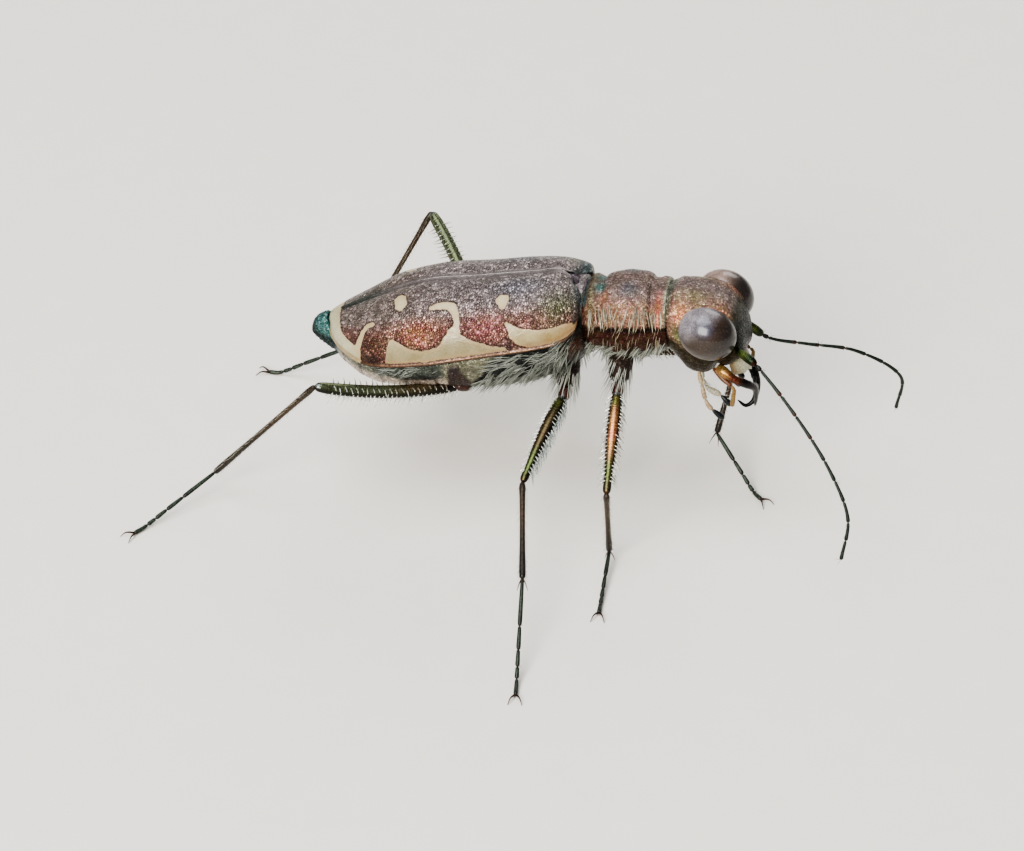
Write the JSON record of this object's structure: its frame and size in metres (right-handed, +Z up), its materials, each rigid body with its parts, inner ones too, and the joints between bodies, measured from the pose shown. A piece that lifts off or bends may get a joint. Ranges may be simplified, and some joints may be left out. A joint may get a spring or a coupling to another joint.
{
  "type": "tiger beetle",
  "caption": "Life-size standing tiger beetle with bulging eyes, crossed toothed mandibles, long thin legs and antennae, and pitted cream-marked wing cases.",
  "frame": {"origin": "on the floor under the middle of the model's bounding box", "axes": "+X to the front, along the body; +Y to the beetle's left; +Z up"},
  "size_m": [0.0222, 0.0166, 0.0075],
  "materials": {
    "bronze": "metallic purple-bronze",
    "wing_case": "pitted coppery grey-purple with cream marks in the visual model",
    "eye": "smooth and glossy",
    "cream": "satin",
    "amber": "glossy reddish brown",
    "green_metal": "metallic green",
    "dark_horn": "satin brown-black",
    "teal": "metallic blue-green"
  },
  "bodies": {
    "root": {"abdomen": "bronze", "abdomen_tip": "teal", "antenna_left_inner": "dark_horn", "antenna_left_outer": "dark_horn", "antenna_left_scape": "green_metal", "antenna_right_inner": "dark_horn", "antenna_right_outer": "dark_horn", "antenna_right_scape": "green_metal", "elytron_left": "wing_case", "elytron_right": "wing_case", "eye_left": "eye", "eye_right": "eye", "head": "bronze", "labial_palp_left": "cream", "labial_palp_right": "cream", "labrum": "cream", "leg_front_left_coxa": "bronze", "leg_front_left_femur": "green_metal", "leg_front_left_tarsus": "dark_horn", "leg_front_left_tibia": "bronze", "leg_front_left_trochanter": "amber", "leg_front_right_coxa": "bronze", "leg_front_right_femur": "green_metal", "leg_front_right_tarsus": "dark_horn", "leg_front_right_tibia": "bronze", "leg_front_right_trochanter": "amber", "leg_hind_left_coxa": "bronze", "leg_hind_left_femur": "green_metal", "leg_hind_left_tarsus": "dark_horn", "leg_hind_left_tibia": "bronze", "leg_hind_left_trochanter": "amber", "leg_hind_right_coxa": "bronze", "leg_hind_right_femur": "green_metal", "leg_hind_right_tarsus": "dark_horn", "leg_hind_right_tibia": "bronze", "leg_hind_right_trochanter": "amber", "leg_middle_left_coxa": "bronze", "leg_middle_left_femur": "green_metal", "leg_middle_left_tarsus": "dark_horn", "leg_middle_left_tibia": "bronze", "leg_middle_left_trochanter": "amber", "leg_middle_right_coxa": "bronze", "leg_middle_right_femur": "green_metal", "leg_middle_right_tarsus": "dark_horn", "leg_middle_right_tibia": "bronze", "leg_middle_right_trochanter": "amber", "mandible_left": "amber", "mandible_right": "amber", "maxillary_palp_left": "amber", "maxillary_palp_right": "amber", "prothorax": "bronze", "scutellum": "bronze", "thorax": "bronze"}
  },
  "joints": []
}
